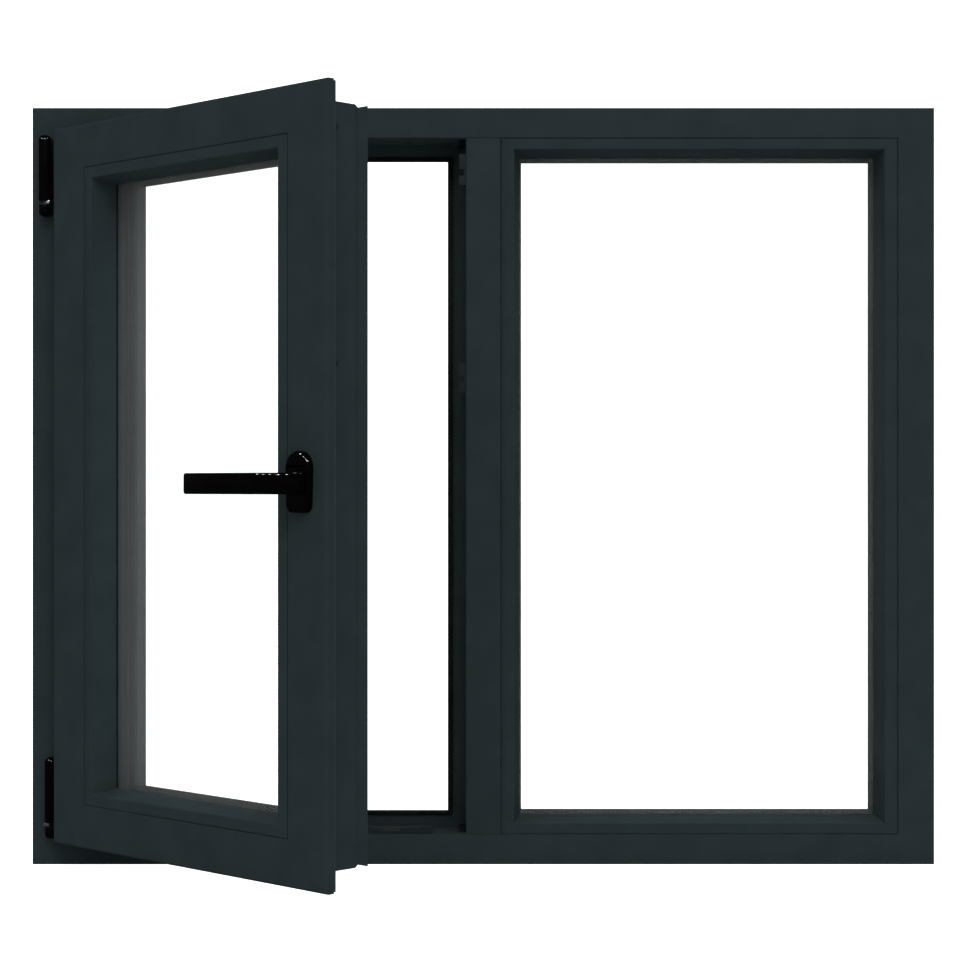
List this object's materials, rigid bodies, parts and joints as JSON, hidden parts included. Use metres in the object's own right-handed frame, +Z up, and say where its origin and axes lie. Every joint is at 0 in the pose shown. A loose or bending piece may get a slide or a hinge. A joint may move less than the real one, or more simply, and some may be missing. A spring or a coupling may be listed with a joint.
{
  "type": "casement window",
  "caption": "Casement window: a fixed glazed light beside an inward-opening side-hung sash with lever handle, espagnolette lock, keeps and covered hinges.",
  "frame": {"origin": "middle of the sill's underside, half way through the frame's depth", "axes": "+X to the right as seen from the room, +Y away from the room, +Z up; the opening sash is on -X and opens towards -Y"},
  "size_m": [1.192, 0.4938, 1],
  "materials": {
    "profile": "smooth satin anthracite PVC",
    "seal": "soft black EPDM",
    "glass": "clear float glass",
    "spacer": "dark warm-edge composite",
    "galvanised": "galvanised steel",
    "hardware": "zinc-plated steel",
    "keep": "dark coated zinc",
    "gloss_black": "gloss black",
    "handle_black": "gloss black lacquer on die-cast metal",
    "block": "moulded plastic"
  },
  "bodies": {
    "frame": {"frame_head": "profile", "frame_sill": "profile", "frame_left_jamb": "profile", "frame_right_jamb": "profile", "mullion": "profile", "frame_reinforcement": "galvanised", "mullion_connectors": "hardware", "mullion_screws": "hardware", "frame_seal": "seal", "fixed_bead_top": "profile", "fixed_bead_bottom": "profile", "fixed_bead_left": "profile", "fixed_bead_right": "profile", "fixed_pane_inner": "glass", "fixed_pane_outer": "glass", "fixed_spacer": "spacer", "fixed_gaskets": "seal", "fixed_setting_blocks": "block", "keep_middle": "keep", "keep_top": "keep", "keep_sill": "keep", "frame_hardware_screws": "hardware", "rebate_corner_blocks": "block", "upper_hinge_bearing": "hardware", "lower_hinge_bearing": "hardware", "hinge_covers": "gloss_black", "hinge_caps": "gloss_black", "hinge_pins": "hardware"},
    "sash": {"sash_top_rail": "profile", "sash_bottom_rail": "profile", "sash_hinge_stile": "profile", "sash_lock_stile": "profile", "sash_reinforcement": "galvanised", "sash_bead_top": "profile", "sash_bead_bottom": "profile", "sash_bead_left": "profile", "sash_bead_right": "profile", "sash_pane_inner": "glass", "sash_pane_outer": "glass", "sash_spacer": "spacer", "sash_gaskets": "seal", "sash_setting_blocks": "block", "sash_seal": "seal", "upper_hinge_strap": "hardware", "lower_hinge_strap": "hardware", "sash_hardware_screws": "hardware", "lock_faceplate": "keep", "bottom_faceplate": "keep", "corner_drive": "hardware", "gearbox_case": "hardware", "handle_base_plate": "block", "handle_rosette": "handle_black", "handle_screws": "hardware"},
    "handle": {"handle_lever": "handle_black", "handle_spindle": "hardware", "drive_pinion": "hardware"},
    "lock_rod": {"lock_rod": "hardware", "lock_cams": "hardware"},
    "bottom_rod": {"bottom_rod": "hardware", "bottom_cam": "hardware"}
  },
  "joints": [
    {"name": "sash_turn", "type": "hinge", "parent": "frame", "child": "sash", "pos_m": [-0.573, -0.051, 0.5], "axis": [0, 0, -1], "range_deg": [-44.6, 45.4]},
    {"name": "handle_turn", "type": "hinge", "parent": "sash", "child": "handle", "pos_m": [-0.21014, -0.41585, 0.503], "axis": [-0.7022, -0.712, 0], "range_deg": [0, 90]},
    {"name": "lock_rod_slide", "type": "slide", "parent": "sash", "child": "lock_rod", "axis": [0, 0, 1], "range_m": [0, 0.0165]},
    {"name": "bottom_rod_slide", "type": "slide", "parent": "sash", "child": "bottom_rod", "axis": [0.712, -0.7022, 0], "range_m": [0, 0.0165]}
  ],
  "couplings": [
    {"joint": "lock_rod_slide", "follows": "handle_turn", "m_per_rad": 0.0105},
    {"joint": "bottom_rod_slide", "follows": "handle_turn", "m_per_rad": 0.0105}
  ]
}
